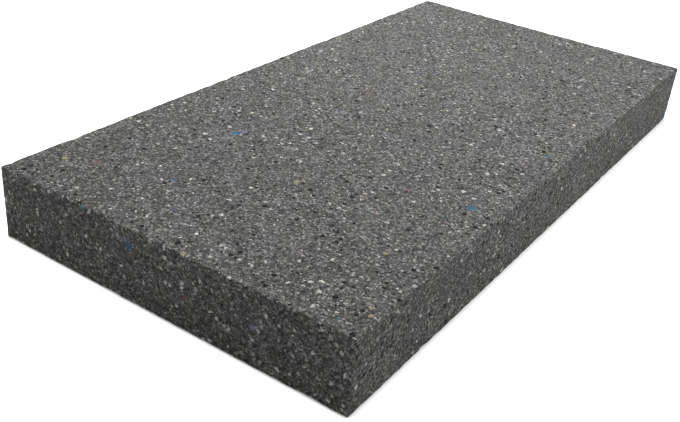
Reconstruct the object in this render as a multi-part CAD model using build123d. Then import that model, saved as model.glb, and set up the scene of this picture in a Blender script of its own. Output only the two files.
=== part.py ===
"""Rebonded foam insulation board.

One rectangular board, sawn from a block of foam flakes that were pressed and glued together.
It is a single solid: no skin, no core and no fixings. The band knife leaves six flat faces
that meet square, with edges that are only just broken.

Frame: origin at the centre of the underside, +X along the length, +Y across the width and
+Z up through the thickness. Millimetres.
"""
from build123d import *
import os

# Driving dimensions of the sawn board
board_length = 1000.0     # along X
board_width = 500.0       # along Y
board_thickness = 95.0    # along Z, the direction in which the block was pressed

# The foam gives a little under the knife, so each sawn edge is a small round
edge_radius = 1.0


def foam_board():
    """The board, standing on its underside and centred on Z."""
    upright = (Align.CENTER, Align.CENTER, Align.MIN)
    sawn_block = Box(board_length, board_width, board_thickness, align=upright)
    return fillet(sawn_block.edges(), radius=edge_radius)


os.makedirs("parts", exist_ok=True)
export_step(foam_board(), "parts/foam_board.step")
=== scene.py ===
"""A board of rebonded foam: waste foam, shredded, coated with binder, pressed into a block and sawn.

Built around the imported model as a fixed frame, in metres. One piece rides on the root body.
"""
import itertools
import math

import bpy
import numpy as np
from mathutils import Matrix, Vector


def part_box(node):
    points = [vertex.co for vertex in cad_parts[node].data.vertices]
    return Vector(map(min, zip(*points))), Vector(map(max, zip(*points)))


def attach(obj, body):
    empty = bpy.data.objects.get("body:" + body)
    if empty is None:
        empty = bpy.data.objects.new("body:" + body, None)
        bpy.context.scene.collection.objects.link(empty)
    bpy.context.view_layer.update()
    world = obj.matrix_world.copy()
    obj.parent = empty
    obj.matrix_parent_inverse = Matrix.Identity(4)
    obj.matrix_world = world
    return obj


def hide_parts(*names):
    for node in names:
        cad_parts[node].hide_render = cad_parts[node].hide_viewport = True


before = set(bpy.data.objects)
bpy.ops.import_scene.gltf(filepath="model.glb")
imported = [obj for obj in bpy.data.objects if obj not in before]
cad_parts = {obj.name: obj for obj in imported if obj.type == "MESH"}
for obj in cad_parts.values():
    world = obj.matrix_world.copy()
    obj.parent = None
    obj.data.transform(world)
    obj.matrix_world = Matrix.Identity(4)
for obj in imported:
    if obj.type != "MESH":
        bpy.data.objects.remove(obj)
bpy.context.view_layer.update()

# ---------------------------------------------------------------------------------------------
# The sawn board: one pressed block of foam flakes, glued to each other all through.
# A band knife leaves flat, matt faces with open cells, small torn pits where a flake came away,
# and arrises that are square but a little frayed. Nothing is fixed to it.
# ---------------------------------------------------------------------------------------------

board_low, board_high = (np.array(corner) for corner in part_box("foam_board"))

arris_radius = 0.0010        # the foam gives a little under the knife
line_spacing = 0.00381       # between the lines of the sawn faces' grid
sawn_under = 0.00066         # how far the middle of the relief lies below the sawn size
relief_seed = 41

wave_size, wave_depth = 0.070, 0.00012       # slow waves left by the knife
flake_size, flake_step = 0.0090, 0.00042     # each flake springs back by its own amount
grain_size, grain_depth = 0.0052, 0.00020
fray_size, fray_radius = 0.0085, 0.0022      # added to the arris radius by fraying
notch_size, notch_radius = 0.0170, 0.0085    # and where a flake came away from an arris
notch_above = 0.50                           # how high the lumps stand where a notch begins
worn_reach = 0.0080                          # the widest that an arris may get
arris_turn = 0.38                            # how far a normal leans on an arris' second line
arris_relief = 0.5                           # share of the relief that an arris keeps


def knife_lines(start, end):
    """Places of the grid lines along one side of the board.

    Even steps run between the two rounded arrises. Each arris has two more lines, where a round
    of the plain radius has turned by a half and by a quarter of its right angle.
    """
    steps = round((end - start) / line_spacing)
    inner = np.linspace(start + arris_radius, end - arris_radius, steps + 1)
    across = arris_radius * np.array([0.0, 1.0 - math.tan(math.pi / 8)])
    return np.concatenate([start + across, inner, end - across[::-1]])


def block_skin(x, y, z):
    """The closed skin of the lattice of lines x, y and z, as points and six sheets of numbers.

    A lattice node is on the skin where it lies on the first or last line of any direction. Each
    sheet is one side of the block: a grid of point numbers that runs along two directions whose
    cross product points outwards, so neighbouring sheets share the points of their common edge.
    """
    skin = np.zeros((len(x), len(y), len(z)), bool)
    skin[[0, -1]] = skin[:, [0, -1]] = skin[:, :, [0, -1]] = True
    number = np.cumsum(skin).reshape(skin.shape) - 1
    points = np.stack(np.meshgrid(x, y, z, indexing="ij"), -1)[skin]
    sheets = {
        "top": number[:, :, -1],
        "underside": number[:, :, 0].T,
        "right_end": number[-1],
        "left_end": number[0].T,
        "back": number[:, -1].T,
        "front": number[:, 0],
    }
    return points, sheets


def rounded(points, low, high, radius):
    """Points of a square block moved onto the same block with round arrises, and their normals.

    Each point has its own radius. Its core is the block shrunk by that radius, and it goes to its
    nearest place in the core plus one radius along the direction in which it left the core.
    """
    core = np.clip(points, low + radius, high - radius)
    outwards = points - core
    outwards /= np.linalg.norm(outwards, axis=1, keepdims=True)
    return core + radius * outwards, outwards


table_side = 32              # cells along each side of a table of random numbers
table_start = 1000.0         # cells from the table's first corner to the origin


def lumps(points, size, seed):
    """Smooth random heights from -1 to 1, with lumps of one size.

    Random heights stand at the nodes of a cubic lattice, and each point blends the eight nodes
    round it by the smooth step 3t^2 - 2t^3 along each direction.
    """
    table = np.random.default_rng(seed).uniform(-1.0, 1.0, (table_side,) * 3)
    place = points / size + table_start
    cell = np.floor(place).astype(int)
    part = place - cell
    part = part * part * (3.0 - 2.0 * part)
    height = np.zeros(len(points))
    for corner in itertools.product((0, 1), repeat=3):
        i, j, k = ((cell + corner) % table_side).T
        height += np.where(corner, part, 1.0 - part).prod(axis=1) * table[i, j, k]
    return height


def flake_heights(points, size, seed):
    """One random height from -1 to 1 for each pressed flake.

    Each cell of a cubic lattice holds one seed point at a random place, and a point of the skin
    belongs to the nearest seed of the 27 cells round it.
    """
    draw = np.random.default_rng(seed)
    seeds = draw.uniform(0.0, 1.0, (table_side,) * 3 + (3,))
    heights = draw.uniform(-1.0, 1.0, (table_side,) * 3)
    place = points / size + table_start
    cell = np.floor(place).astype(int)
    nearest = np.full(len(points), np.inf)
    found = np.zeros(len(points))
    for near in itertools.product((-1, 0, 1), repeat=3):
        i, j, k = ((cell + near) % table_side).T
        distance = np.linalg.norm(cell + near + seeds[i, j, k] - place, axis=1)
        found = np.where(distance < nearest, heights[i, j, k], found)
        nearest = np.minimum(distance, nearest)
    return found


pit_reach = 3                    # grid lines that a pit gathers, each way from its middle
pit_room = 9                     # grid lines between the places where a pit may be
pit_share = 0.30                 # of those places that hold one
pit_radius = (0.0011, 0.0028)
pit_depth = (0.0016, 0.0042)
pit_squeeze = (0.55, 1.0)        # its narrow way as a share of its long way
pit_waves = 0.15                 # the most that each wave moves its rim in or out
pit_rings = np.array([0.0, 0.62, 1.0, 2.7])      # ring radii as shares of the pit's radius
pit_floor = np.array([1.0, 0.85, 0.0, 0.0])      # and their depths as shares of its depth
rim_ring = 2


def gather_pits(points, sheet, along, seed):
    """Gathers the skin's grid lines round random nodes of one sheet, for small torn pits.

    A pit takes a square block of nodes. A node's ring is the larger of its two counts of lines
    from the middle. The ring becomes an ellipse of that ring's radius, turned at random and with
    a wavy rim. Returns how far each point is to sink, and which points are on a rim.
    """
    draw = np.random.default_rng(seed)
    sink = np.zeros(len(points))
    on_rim = np.zeros(len(points), bool)
    margin = pit_room // 2 + pit_reach
    rows, columns = (np.arange(margin, lines - margin, pit_room) for lines in sheet.shape)
    if not (len(rows) and len(columns)):
        return sink, on_rim
    row, column = (grid.ravel() for grid in np.meshgrid(rows, columns, indexing="ij"))
    row = row + draw.integers(-1, 2, len(row))
    column = column + draw.integers(-1, 2, len(column))
    held = draw.uniform(size=len(row)) < pit_share
    row, column = row[held], column[held]
    count = len(row)
    radius = draw.uniform(*pit_radius, count)
    depth = draw.uniform(*pit_depth, count)
    squeeze = draw.uniform(*pit_squeeze, count)
    turn = draw.uniform(0.0, math.pi, count)
    waves = draw.uniform(-pit_waves, pit_waves, (count, 2))

    reach = np.arange(-pit_reach, pit_reach + 1)
    across, up = (offsets.ravel() for offsets in np.meshgrid(reach, reach, indexing="ij"))
    ring = np.maximum(abs(across), abs(up))
    block = sheet[row[:, None] + across, column[:, None] + up]
    angle = np.arctan2(up, across)[None] - turn[:, None]
    wavy = 1.0 + waves[:, :1] * np.sin(3.0 * angle) + waves[:, 1:] * np.cos(2.0 * angle)
    out = radius[:, None] * pit_rings[ring] * wavy
    long_way = out * np.cos(angle)
    short_way = out * np.sin(angle) * squeeze[:, None]
    cos_turn, sin_turn = np.cos(turn)[:, None], np.sin(turn)[:, None]
    middle = points[sheet[row, column]]
    placed = points[block]
    placed[..., along[0]] = middle[:, None, along[0]] + long_way * cos_turn - short_way * sin_turn
    placed[..., along[1]] = middle[:, None, along[1]] + long_way * sin_turn + short_way * cos_turn
    points[block] = placed
    sink[block] = pit_floor[ring] * depth[:, None]
    on_rim[block[:, ring == rim_ring]] = True
    return sink, on_rim


block_low, block_high = board_low + sawn_under, board_high - sawn_under
lattice = [knife_lines(start, end) for start, end in zip(block_low, block_high)]
square_points, sheets = block_skin(*lattice)
sheet_axes = {
    "top": (0, 1), "underside": (1, 0), "right_end": (1, 2),
    "left_end": (2, 1), "back": (2, 0), "front": (0, 2),
}

# One place stands for a whole cross-section of an arris, so its radius changes only along it
beside_arris = np.clip(square_points, block_low + worn_reach, block_high - worn_reach)
fray = np.clip(lumps(beside_arris, fray_size, relief_seed + 3), 0.0, 1.0)
notch = np.clip(lumps(beside_arris, notch_size, relief_seed + 4) - notch_above, 0.0, 1.0 - notch_above)
worn_radius = (arris_radius + fray_radius * fray + notch_radius * notch)[:, None]
skin_points, skin_normals = rounded(square_points, block_low, block_high, worn_radius)

pit_sink = np.zeros(len(skin_points))
rims = np.zeros(len(skin_points), bool)
for order, (side, sheet) in enumerate(sheets.items()):
    sink, on_rim = gather_pits(skin_points, sheet, sheet_axes[side], relief_seed + 10 + order)
    pit_sink += sink
    rims |= on_rim

# The knife's waves, the flakes that sprang back and the grain, half as high along an arris
turned = np.sort(abs(skin_normals), axis=1)[:, 1]      # 0 on a face, up to 0.7 on an arris
on_arris = np.clip(turned / arris_turn, 0.0, 1.0)
relief = (
    wave_depth * lumps(skin_points, wave_size, relief_seed)
    + flake_step * flake_heights(skin_points, flake_size, relief_seed + 1)
    + grain_depth * lumps(skin_points, grain_size, relief_seed + 2)
)
rise = relief * (1.0 - (1.0 - arris_relief) * on_arris) - pit_sink
skin_points = np.clip(skin_points + rise[:, None] * skin_normals, board_low, board_high)


def sheet_faces(sheet):
    """The faces of one sheet, each as the numbers of its four points, turned outwards."""
    return np.stack([sheet[:-1, :-1], sheet[1:, :-1], sheet[1:, 1:], sheet[:-1, 1:]], -1).reshape(-1, 4)


quads = np.concatenate([sheet_faces(sheet) for sheet in sheets.values()])
board_mesh = bpy.data.meshes.new("sawn_foam_board")
board_mesh.from_pydata(skin_points.tolist(), [], quads.tolist())
board_mesh.update()
board_mesh.shade_smooth()
edge_ends = np.empty(2 * len(board_mesh.edges), np.int32)
board_mesh.edges.foreach_get("vertices", edge_ends)
board_mesh.edges.foreach_set("use_edge_sharp", rims[edge_ends.reshape(-1, 2)].all(axis=1))
# Each point's pit depth as a share of the deepest, which the material turns into painted shade inside
# the pits
board_mesh.attributes.new("painted_pit_shade", "FLOAT", "POINT").data.foreach_set(
    "value", (pit_sink / pit_depth[1]).astype(np.float32)
)

# Its map for baked colours: the top and the sides at nearly one scale, the underside narrower.
# Each side gives the direction of u, whether it runs backwards, left, bottom, width and height.
map_places = {
    "top": (0, False, 0.003, 0.003, 0.994, 0.450),
    "underside": (0, False, 0.003, 0.459, 0.994, 0.235),
    "front": (0, False, 0.003, 0.700, 0.994, 0.094),
    "back": (0, True, 0.003, 0.800, 0.994, 0.094),
    "right_end": (1, False, 0.003, 0.900, 0.494, 0.094),
    "left_end": (1, True, 0.503, 0.900, 0.494, 0.094),
}
places = []
for side, sheet in sheets.items():
    u_axis, backwards, left, bottom, width, height = map_places[side]
    v_axis = 1 if side in ("top", "underside") else 2
    shares = ((skin_points - board_low) / (board_high - board_low))[sheet_faces(sheet).ravel()]
    u = 1.0 - shares[:, u_axis] if backwards else shares[:, u_axis]
    v = 1.0 - shares[:, v_axis] if side == "underside" else shares[:, v_axis]
    places.append(np.stack([left + width * u, bottom + height * v], -1))
bake_map = board_mesh.uv_layers.new(name="OFBake")
bake_map.uv.foreach_set("vector", np.concatenate(places).astype(np.float32).ravel())

board = bpy.data.objects.new("sawn_foam_board", board_mesh)
bpy.context.scene.collection.objects.link(board)


def node(tree, kind, inputs=None, **settings):
    """Adds a shader node. Each named input takes a link if it is given a socket, or else a value."""
    new = tree.nodes.new(kind)
    for name, value in settings.items():
        setattr(new, name, value)
    for name, value in (inputs or {}).items():
        if isinstance(value, bpy.types.NodeSocket):
            tree.links.new(value, new.inputs[name])
        else:
            new.inputs[name].default_value = value
    return new


def reckon(tree, operation, first, second):
    """One step of arithmetic on two numbers or sockets."""
    return node(tree, "ShaderNodeMath", {0: first, 1: second}, operation=operation).outputs[0]


def laid_over(tree, share, below, above):
    """The number above laid over the number below, by share."""
    return node(tree, "ShaderNodeMix", {0: share, 2: below, 3: above}, data_type="FLOAT").outputs[0]


def dyed_over(tree, share, below, above):
    """The colour above laid over the colour below, by share."""
    return node(tree, "ShaderNodeMix", {0: share, 6: below, 7: above}, data_type="RGBA").outputs[2]


def new_group(name, inputs, outputs):
    """An empty shader node group with its named inputs, their default values, and its outputs."""
    group = bpy.data.node_groups.new(name, "ShaderNodeTree")
    for socket, (kind, value) in inputs.items():
        made = group.interface.new_socket(socket, in_out="INPUT", socket_type="NodeSocket" + kind)
        made.default_value = value
    for socket in outputs:
        group.interface.new_socket(socket, in_out="OUTPUT", socket_type="NodeSocketFloat")
    given = group.nodes.new("NodeGroupInput").outputs
    gives = group.nodes.new("NodeGroupOutput").inputs
    return group, given, gives


outline_ripples = 2.2        # across the width of one flake


def frayed_place(tree, given):
    """The given place, moved by the layer's shift, and pushed about so that outlines are ragged."""
    place = node(tree, "ShaderNodeVectorMath", {0: given["Vector"], 1: given["Shift"]}).outputs[0]
    scale = reckon(tree, "DIVIDE", outline_ripples, given["Size"])
    noise = node(tree, "ShaderNodeTexNoise", {"Vector": place, "Scale": scale, "Detail": 1.0})
    centred = node(
        tree, "ShaderNodeVectorMath", {0: noise.outputs["Color"], 1: (0.5, 0.5, 0.5)},
        operation="SUBTRACT",
    )
    push = node(
        tree, "ShaderNodeVectorMath", {0: centred.outputs[0], "Scale": given["Ragged"]},
        operation="SCALE",
    )
    return node(tree, "ShaderNodeVectorMath", {0: place, 1: push.outputs[0]}).outputs[0]


def fade(tree, value, start, end):
    """1 below the start, 0 above the end, and a smooth step between."""
    return node(
        tree, "ShaderNodeMapRange",
        {"Value": value, "From Min": start, "From Max": end, "To Min": 1.0, "To Max": 0.0},
        interpolation_type="SMOOTHSTEP",
    ).outputs["Result"]


def make_pressed_flakes():
    """Flakes that fill the block: a shade and a warmth for each, and the seam where they meet."""
    group, given, gives = new_group(
        "pressed_flakes",
        {
            "Vector": ("Vector", (0.0, 0.0, 0.0)), "Size": ("Float", 8.0), "Ragged": ("Float", 3.0),
            "Seam Width": ("Float", 0.08), "Shift": ("Vector", (0.0, 0.0, 0.0)),
        },
        ("Shade", "Warmth", "Seam"),
    )
    place = frayed_place(group, given)
    scale = reckon(group, "DIVIDE", 1.0, given["Size"])
    cells = node(group, "ShaderNodeTexVoronoi", {"Vector": place, "Scale": scale})
    edges = node(
        group, "ShaderNodeTexVoronoi", {"Vector": place, "Scale": scale}, feature="DISTANCE_TO_EDGE"
    )
    split = node(group, "ShaderNodeSeparateColor", {"Color": cells.outputs["Color"]})
    group.links.new(split.outputs["Green"], gives["Shade"])
    group.links.new(split.outputs["Blue"], gives["Warmth"])
    group.links.new(fade(group, edges.outputs["Distance"], 0.0, given["Seam Width"]), gives["Seam"])
    return group


def make_scattered_flecks():
    """Flecks strewn through the block: where they are, the groove round them, a shade and a warmth."""
    group, given, gives = new_group(
        "scattered_flecks",
        {
            "Vector": ("Vector", (0.0, 0.0, 0.0)), "Size": ("Float", 5.0), "Share": ("Float", 0.5),
            "Smallest": ("Float", 0.1), "Largest": ("Float", 0.45), "Soft": ("Float", 0.12),
            "Ragged": ("Float", 2.0), "Shift": ("Vector", (0.0, 0.0, 0.0)),
        },
        ("Mask", "Groove", "Shade", "Warmth"),
    )
    place = frayed_place(group, given)
    scale = reckon(group, "DIVIDE", 1.0, given["Size"])
    cells = node(group, "ShaderNodeTexVoronoi", {"Vector": place, "Scale": scale})
    split = node(group, "ShaderNodeSeparateColor", {"Color": cells.outputs["Color"]})
    held = reckon(group, "LESS_THAN", split.outputs["Red"], given["Share"])
    size_draw = reckon(group, "DIVIDE", split.outputs["Red"], given["Share"])
    radius = node(
        group, "ShaderNodeMapRange",
        {"Value": size_draw, "To Min": given["Smallest"], "To Max": given["Largest"]},
    ).outputs["Result"]
    distance = cells.outputs["Distance"]
    core = fade(group, distance, reckon(group, "SUBTRACT", radius, given["Soft"]), radius)
    round_it = fade(group, distance, radius, reckon(group, "ADD", radius, given["Soft"]))
    ring = reckon(group, "SUBTRACT", round_it, core)
    group.links.new(reckon(group, "MULTIPLY", core, held), gives["Mask"])
    group.links.new(reckon(group, "MULTIPLY", ring, held), gives["Groove"])
    group.links.new(split.outputs["Green"], gives["Shade"])
    group.links.new(split.outputs["Blue"], gives["Warmth"])
    return group


pressed_flakes = make_pressed_flakes()
scattered_flecks = make_scattered_flecks()

foam = bpy.data.materials.new("rebonded_foam")
foam.use_nodes = True
tree = foam.node_tree
tree.nodes.clear()


def layer(group, **values):
    """One placing of a group, on places in millimetres, with its own values."""
    placed = node(tree, "ShaderNodeGroup", node_tree=group)
    tree.links.new(millimetres, placed.inputs["Vector"])
    for name, value in values.items():
        placed.inputs[name.replace("_", " ").title()].default_value = value
    return placed.outputs


def between(value, low, high):
    """A value from 0 to 1 stretched to run from low to high."""
    stretch = {"Value": value, "To Min": low, "To Max": high}
    return node(tree, "ShaderNodeMapRange", stretch).outputs["Result"]


def skewed(value, low, high, power):
    """A value from 0 to 1 raised to a power, then stretched: most flakes near low, a few near high."""
    return between(reckon(tree, "POWER", value, power), low, high)


def times(first, second):
    """The product of two numbers."""
    return reckon(tree, "MULTIPLY", first, second)


def ramp(value, stops, interpolation):
    """The colour that stands at a value from 0 to 1 on a row of colours, each at its own place."""
    row = node(tree, "ShaderNodeValToRGB", {"Fac": value})
    row.color_ramp.interpolation = interpolation
    row.color_ramp.elements.remove(row.color_ramp.elements[1])
    row.color_ramp.elements[0].color = stops[0][1]
    for at, colour in stops[1:]:
        row.color_ramp.elements.new(at).color = colour
    return row.outputs["Color"]


object_place = node(tree, "ShaderNodeTexCoord").outputs["Object"]
millimetres = node(
    tree, "ShaderNodeMapping", {"Vector": object_place, "Scale": (1e3, 1e3, 1e3)}
).outputs[0]
millimetre = 0.001

# The grey body: finely ground foam, in loose clumps a little lighter or darker than the rest
ground_shades = [
    (0.0, 0.020), (0.16, 0.058), (0.40, 0.097), (0.66, 0.135), (0.86, 0.204), (1.0, 0.350),
]
clumps = layer(pressed_flakes, size=8.5, ragged=5.0, seam_width=0.10, shift=(11.0, 5.0, 3.0))
ground = layer(pressed_flakes, size=2.3, ragged=2.1, seam_width=0.22, shift=(3.0, 17.0, 9.0))
tone = ramp(ground["Shade"], [(at, (grey, grey, grey, 1.0)) for at, grey in ground_shades], "LINEAR")
tone = times(tone, between(ground["Seam"], 1.0, 0.60))
tone = times(tone, between(clumps["Shade"], 0.90, 1.12))
tone = times(tone, between(clumps["Seam"], 1.0, 0.80))

# Pale crumbs and chips, each in its own small groove
crumbs = layer(
    scattered_flecks, size=4.0, share=0.40, smallest=0.16, largest=0.42, soft=0.13, ragged=3.6,
    shift=(31.0, 7.0, 19.0),
)
chips = layer(
    scattered_flecks, size=8.0, share=0.34, smallest=0.16, largest=0.40, soft=0.08, ragged=6.5,
    shift=(5.0, 41.0, 23.0),
)
for flecks, low, high, power in ((crumbs, 0.135, 0.560, 1.6), (chips, 0.165, 0.560, 1.5)):
    tone = times(tone, between(flecks["Groove"], 1.0, 0.42))
    tone = laid_over(tree, flecks["Mask"], tone, skewed(flecks["Shade"], low, high, power))

# Near-black specks
speck_tone = 0.009
specks = layer(
    scattered_flecks, size=9.5, share=0.42, smallest=0.12, largest=0.36, soft=0.05, ragged=4.0,
    shift=(71.0, 3.0, 13.0),
)
tone = laid_over(tree, specks["Mask"], tone, speck_tone)

# Painted shade darkens the torn pits inside, the more the deeper they are, and open cells far finer
# than the flakes mottle it all with painted shade
painted_pit_shade = node(tree, "ShaderNodeAttribute", attribute_name="painted_pit_shade").outputs["Fac"]
tone = times(tone, between(painted_pit_shade, 1.0, 0.12))
cell_size = 0.8
cells = node(tree, "ShaderNodeTexVoronoi", {"Vector": millimetres, "Scale": 1.0 / cell_size})
open_cell_dips_and_painted_shade = fade(tree, cells.outputs["Distance"], 0.15, 0.62)
# Each open cell is a dip in the bump and gets painted shade in its middle, lighter towards its edge
tone = times(tone, between(open_cell_dips_and_painted_shade, 1.14, 0.72))

# The hue drifts a little over a hand's breadth, and each clump, crumb and chip has its own
drift_size = 38.0
drift = node(
    tree, "ShaderNodeTexNoise", {"Vector": millimetres, "Scale": 1.0 / drift_size, "Detail": 1.0}
)
lean = node(
    tree, "ShaderNodeMapRange", {"Value": drift.outputs["Fac"], "From Min": 0.35, "From Max": 0.65}
)
hue = dyed_over(tree, lean.outputs["Result"], (1.004, 0.987, 1.016, 1.0), (0.996, 1.007, 0.950, 1.0))
cool, warm = (0.990, 0.992, 1.012, 1.0), (1.018, 1.003, 0.955, 1.0)
lilac, cream = (0.985, 0.988, 1.040, 1.0), (1.022, 1.012, 0.905, 1.0)
for share, warmth, coldest, warmest in (
    (1.0, clumps["Warmth"], cool, warm),
    (crumbs["Mask"], crumbs["Warmth"], lilac, cream),
    (chips["Mask"], chips["Warmth"], lilac, cream),
):
    own = dyed_over(tree, share, (1.0, 1.0, 1.0, 1.0), dyed_over(tree, warmth, coldest, warmest))
    hue = node(tree, "ShaderNodeVectorMath", {0: hue, 1: own}, operation="MULTIPLY").outputs[0]

# A few coloured flakes, cut from dyed foam and nearly as mottled as the rest: some strewn all
# through, their dyes as multiples of the tone
blue, teal, pale_blue = (0.50, 1.04, 1.55, 1.0), (0.72, 1.10, 1.12, 1.0), (1.30, 1.38, 1.72, 1.0)
ochre, rust, olive = (2.45, 2.30, 1.45, 1.0), (1.55, 0.92, 0.90, 1.0), (1.05, 1.10, 0.80, 1.0)
dye_starts = [(0.00, blue), (0.26, teal), (0.40, ochre), (0.62, pale_blue), (0.76, rust), (0.86, olive)]
strays = layer(
    scattered_flecks, size=24.0, share=0.15, smallest=0.09, largest=0.20, soft=0.06, ragged=11.0,
    shift=(29.0, 13.0, 47.0),
)
dyed = strays["Mask"]
hue = dyed_over(tree, dyed, hue, ramp(strays["Shade"], dye_starts, "CONSTANT"))

# and the larger ones that catch the eye, on the top and the left end. Each has its middle and its
# radius in millimetres, and a later one lies over an earlier one.
dyed_flakes = [
    ((-500.0, 43.0, 75.0), 7.0, blue), ((-500.0, 48.0, 80.0), 3.6, pale_blue),
    ((-201.0, -213.0, 95.0), 6.6, blue), ((-237.0, 115.0, 95.0), 6.8, blue),
    ((-226.0, 110.0, 95.0), 5.4, pale_blue), ((-77.0, 55.0, 95.0), 5.6, pale_blue),
    ((-500.0, 112.0, 94.0), 5.4, teal),
    ((-459.0, -239.0, 95.0), 3.4, ochre), ((-447.0, -232.0, 95.0), 3.2, ochre),
    ((-497.0, -34.0, 95.0), 4.2, ochre), ((-435.0, 214.0, 95.0), 3.6, ochre),
    ((-355.0, -190.0, 95.0), 3.2, ochre), ((-214.0, -133.0, 95.0), 3.6, rust),
    ((-416.0, 180.0, 95.0), 3.4, rust),
    ((-500.0, -131.0, 50.0), 5.0, pale_blue), ((-500.0, -40.0, 45.0), 3.4, rust),
]
dyed_tone, dyed_evenness = 0.125, 0.55
ragged_place = frayed_place(
    tree, {"Vector": millimetres, "Shift": (0.0, 0.0, 0.0), "Size": 9.0, "Ragged": 4.5}
)
for middle, radius, colour in dyed_flakes:
    away = node(
        tree, "ShaderNodeVectorMath", {0: ragged_place, 1: middle}, operation="DISTANCE"
    ).outputs["Value"]
    flake = fade(tree, away, 0.75 * radius, radius)
    dyed = reckon(tree, "MAXIMUM", dyed, flake)
    hue = dyed_over(tree, flake, hue, colour)
evened = laid_over(tree, dyed_evenness, tone, dyed_tone)
tone = laid_over(tree, dyed, tone, evened)
body = node(tree, "ShaderNodeVectorMath", {0: hue, "Scale": tone}, operation="SCALE").outputs[0]

# Height in millimetres: flakes that sprang back, seams, flecks and open cells
height = times(ground["Shade"], 0.45)
for depth, low_part in (
    (0.35, ground["Seam"]), (0.30, clumps["Seam"]), (0.35, crumbs["Groove"]),
    (0.40, chips["Groove"]), (1.20, specks["Mask"]), (0.35, open_cell_dips_and_painted_shade),
):
    height = reckon(tree, "SUBTRACT", height, times(low_part, depth))
bump = node(tree, "ShaderNodeBump", {"Height": height, "Strength": 1.0, "Distance": millimetre})

matt = node(
    tree, "ShaderNodeBsdfPrincipled",
    {
        "Base Color": body, "Normal": bump.outputs["Normal"],
        "Roughness": between(ground["Shade"], 0.86, 0.98), "Specular IOR Level": 0.22,
    },
)
node(tree, "ShaderNodeOutputMaterial", {"Surface": matt.outputs["BSDF"]})
board_mesh.materials.append(foam)

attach(board, "root")
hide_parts("foam_board")

# ---------------------------------------------------------------------------------------------
# The studio floor: a wide sheet of white paper that the board lies on. It looks white, yet throws
# less light than that on the board's sides, and a thin soft shadow is painted where the two meet.
# ---------------------------------------------------------------------------------------------

floor_reach = 40.0
floor_shown = (0.97, 0.97, 0.97, 1.0)
floor_bounce = (0.74, 0.74, 0.74, 1.0)
floor_glow = 0.60
# The thin shadow is painted on the paper, darker close to the board, with its reach set along the floor
front_shadow = (0.0125, 0.0320)      # reach of the soft line under the front, from left to right
left_shadow = 0.19                   # and its share before the left end, which the lamps fill
shadow_turn = 0.002                  # half the way over which the one turns into the other

floor_mesh = bpy.data.meshes.new("studio_floor")
floor_mesh.from_pydata(
    [(-floor_reach, -floor_reach, 0.0), (floor_reach, -floor_reach, 0.0),
     (floor_reach, floor_reach, 0.0), (-floor_reach, floor_reach, 0.0)],
    [], [(0, 1, 2, 3)],
)
floor = bpy.data.objects.new("studio_floor", floor_mesh)
bpy.context.scene.collection.objects.link(floor)
paper = bpy.data.materials.new("white_paper")
paper.use_nodes = True
paper_tree = paper.node_tree
paper_tree.nodes.clear()
seen = node(paper_tree, "ShaderNodeLightPath").outputs["Is Camera Ray"]
floor_place = node(paper_tree, "ShaderNodeTexCoord").outputs["Object"]
along = node(paper_tree, "ShaderNodeSeparateXYZ", {0: floor_place}).outputs["X"]
reach = node(
    paper_tree, "ShaderNodeMapRange",
    {
        "Value": along, "From Min": board_low[0], "From Max": board_high[0],
        "To Min": front_shadow[0], "To Max": front_shadow[1],
    },
).outputs["Result"]
share = node(
    paper_tree, "ShaderNodeMapRange",
    {
        "Value": along, "From Min": board_low[0] - shadow_turn, "From Max": board_low[0] + shadow_turn,
        "To Min": left_shadow, "To Max": 1.0,
    },
).outputs["Result"]
reach = reckon(paper_tree, "MULTIPLY", reach, share)
# Painted shadow: ambient occlusion over that reach darkens the colour that the camera sees and the
# paper's glow
painted_contact_shadow = node(
    paper_tree, "ShaderNodeAmbientOcclusion", {"Color": floor_shown, "Distance": reach}, samples=8
).outputs
paper_colour = dyed_over(paper_tree, seen, floor_bounce, painted_contact_shadow["Color"])
glow = reckon(paper_tree, "MULTIPLY", painted_contact_shadow["AO"], floor_glow)
glow = reckon(paper_tree, "MULTIPLY", seen, glow)
paper_surface = node(
    paper_tree, "ShaderNodeBsdfPrincipled",
    {
        "Base Color": paper_colour, "Roughness": 1.0, "Specular IOR Level": 0.0,
        "Emission Color": (1.0, 1.0, 1.0, 1.0), "Emission Strength": glow,
    },
)
node(paper_tree, "ShaderNodeOutputMaterial", {"Surface": paper_surface.outputs["BSDF"]})
floor_mesh.materials.append(paper)

# ---------------------------------------------------------------------------------------------
# The lamps: a broad overhead one that leans to the front, a softbox above the right half, a large
# fill behind it, and two small warm ones that face the long side and the left end. The air itself
# is white.
# ---------------------------------------------------------------------------------------------

bpy.context.scene.view_settings.view_transform = "Standard"
air_light = 0.11
air_shown = 1.0

world = bpy.data.worlds.new("white_studio")
world.use_nodes = True
bpy.context.scene.world = world
world.node_tree.nodes.clear()
seen = node(world.node_tree, "ShaderNodeLightPath").outputs["Is Camera Ray"]
strength = node(
    world.node_tree, "ShaderNodeMapRange", {"Value": seen, "To Min": air_light, "To Max": air_shown}
).outputs["Result"]
air = node(
    world.node_tree, "ShaderNodeBackground", {"Color": (1.0, 1.0, 1.0, 1.0), "Strength": strength}
)
node(world.node_tree, "ShaderNodeOutputWorld", {"Surface": air.outputs["Background"]})


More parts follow.
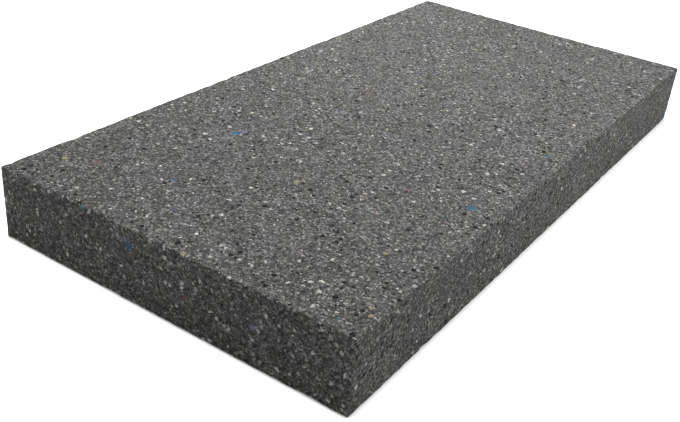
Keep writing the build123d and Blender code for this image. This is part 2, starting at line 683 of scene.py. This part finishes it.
def lamp(name, kind, place, aim, power, **settings):
    """A lamp at a place, turned to shine at a point."""
    data = bpy.data.lights.new(name, kind)
    data.energy = power
    for setting, value in settings.items():
        setattr(data, setting, value)
    made = bpy.data.objects.new(name, data)
    made.location = place
    made.rotation_euler = (Vector(aim) - Vector(place)).to_track_quat("-Z", "Y").to_euler()
    bpy.context.scene.collection.objects.link(made)


board_middle = (0.0, 0.0, 0.0)
warm_light = (1.0, 0.975, 0.94)
lamp("overhead", "SUN", (0.035, -0.23, 1.0), board_middle, 2.24, angle=math.radians(50.0))
lamp("softbox", "AREA", (0.467, 0.233, 1.171), board_middle, 16.2, size=0.8)
lamp("back_fill", "AREA", (0.80, 1.10, 1.10), board_middle, 10.0, size=1.0)
lamp("side_fill", "AREA", (0.30, -0.95, 0.60), board_middle, 4.7, size=0.8, color=warm_light)
lamp("end_fill", "AREA", (-1.30, 0.80, 0.70), (-0.5, 0.2, 0.0), 2.9, size=0.8, color=warm_light)

# ---------------------------------------------------------------------------------------------
# The camera: it stands off the near left corner, 0.6 m up, and looks down along the board. It
# leans by a few degrees, as one held in the hand does.
# ---------------------------------------------------------------------------------------------

camera_place = Vector((-1.0839, -0.5816, 0.6042))
camera_heading = math.radians(31.87)     # from +X towards +Y
camera_dip = math.radians(29.32)
camera_roll = math.radians(5.55)

camera_data = bpy.data.cameras.new("camera")
camera_data.sensor_width = 36.0
camera_data.lens = 48.62
camera = bpy.data.objects.new("camera", camera_data)
bpy.context.scene.collection.objects.link(camera)
ahead = Vector((
    math.cos(camera_dip) * math.cos(camera_heading),
    math.cos(camera_dip) * math.sin(camera_heading),
    -math.sin(camera_dip),
))
level = ahead.cross(Vector((0.0, 0.0, 1.0))).normalized()
upright = level.cross(ahead)
across = math.cos(camera_roll) * level + math.sin(camera_roll) * upright
up = math.cos(camera_roll) * upright - math.sin(camera_roll) * level
facing = Matrix((across, up, -ahead)).transposed().to_4x4()
camera.matrix_world = Matrix.Translation(camera_place) @ facing
bpy.context.scene.camera = camera
